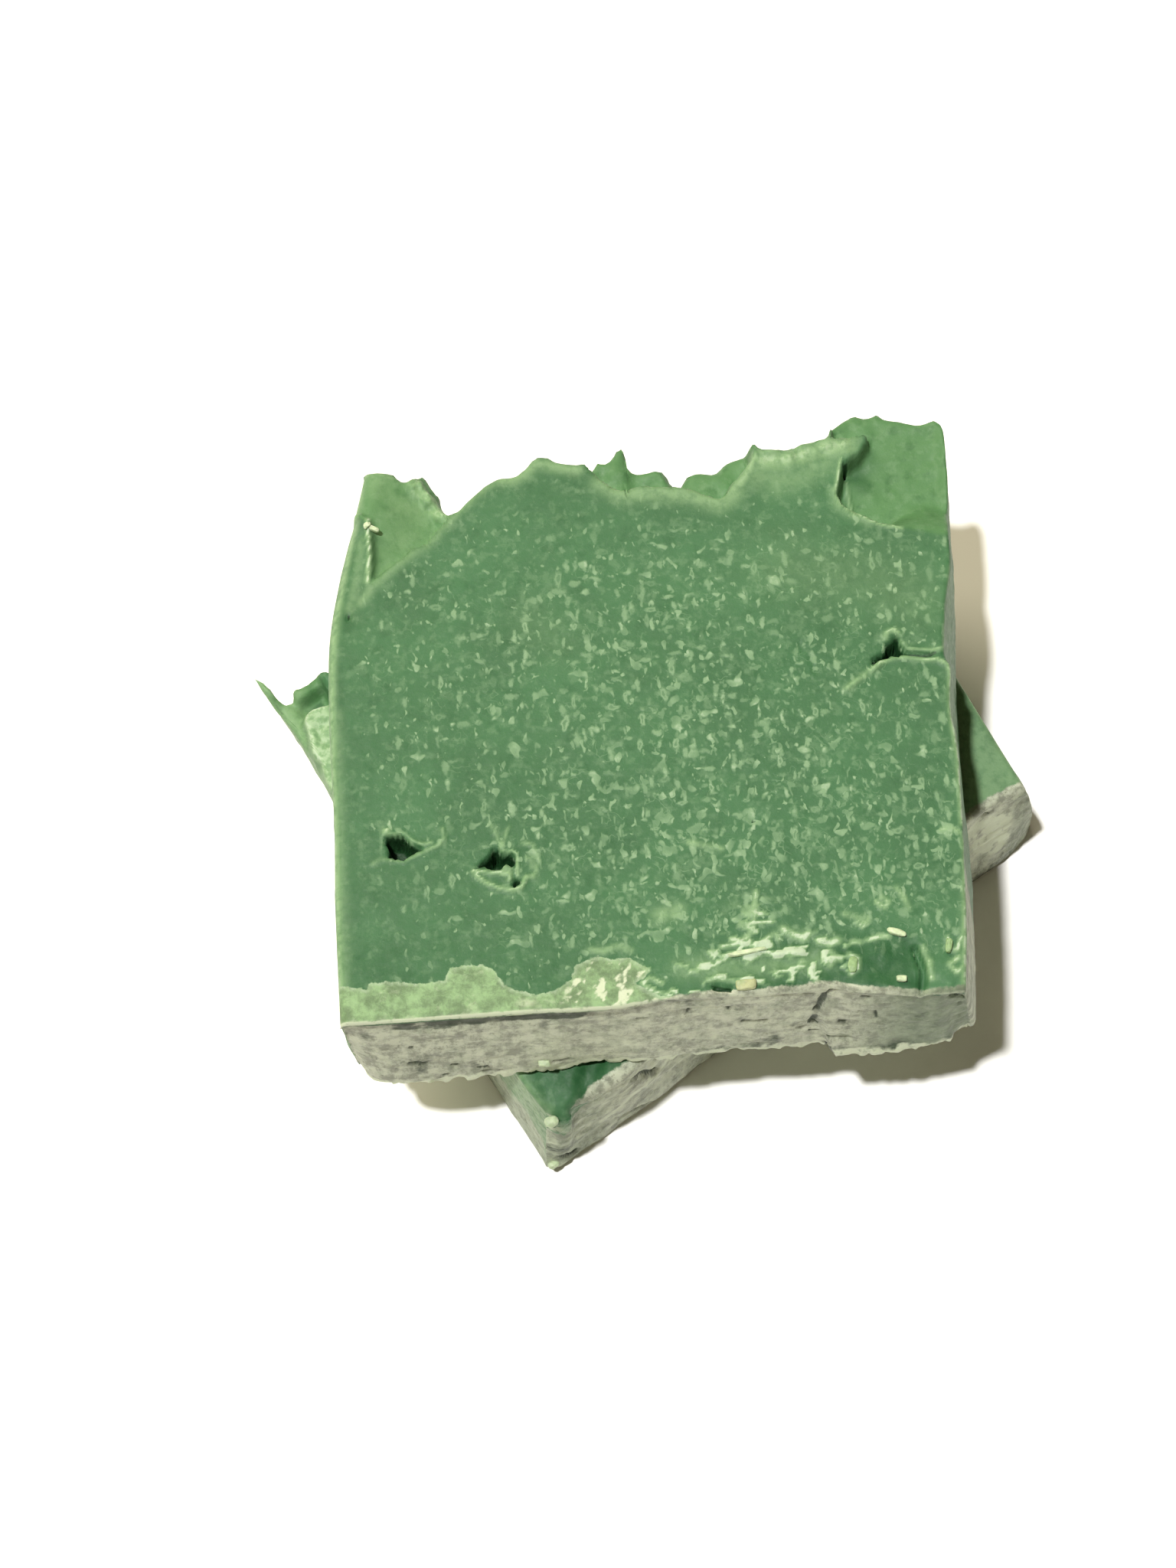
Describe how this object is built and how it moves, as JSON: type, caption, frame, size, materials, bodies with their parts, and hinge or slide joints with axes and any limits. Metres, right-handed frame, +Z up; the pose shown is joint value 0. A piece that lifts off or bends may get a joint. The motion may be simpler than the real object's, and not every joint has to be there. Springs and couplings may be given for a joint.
{
  "type": "stacked shaving soap bars",
  "caption": "Hand-cut square slices of green shaving soap with rough tops and soda-ash fronts, one lying turned across the other.",
  "frame": {"origin": "middle of the lower bar's underside, on the surface that it lies on", "axes": "+Z up; +X to the right along the upper bar's ash-covered front edge; +Y from that edge towards the upper bar's rough back"},
  "size_m": [0.1004, 0.0892, 0.0509],
  "materials": {
    "soap": "hand-cut cold-process soap, waxy and matt, with pale flecks and a grey soda-ash crust on its front side",
    "crumb": "dry pale crumbs and shavings of soap"
  },
  "bodies": {
    "lower_bar": {"lower_bar": "soap", "tip_crumb": "crumb", "corner_lump": "crumb"},
    "upper_bar": {"upper_bar": "soap", "rim_crumb_outer": "crumb", "rim_crumb_inner": "crumb", "rice_flake": "crumb", "tooth_flake": "crumb", "oval_flake": "crumb", "corner_grain": "crumb", "cream_chip": "crumb", "long_sliver": "crumb", "crust_grain": "crumb"}
  },
  "joints": [
    {"name": "upper_bar_lift", "type": "slide", "parent": "lower_bar", "child": "upper_bar", "axis": [0, 0, 1], "range_m": [0, 0.04]}
  ]
}
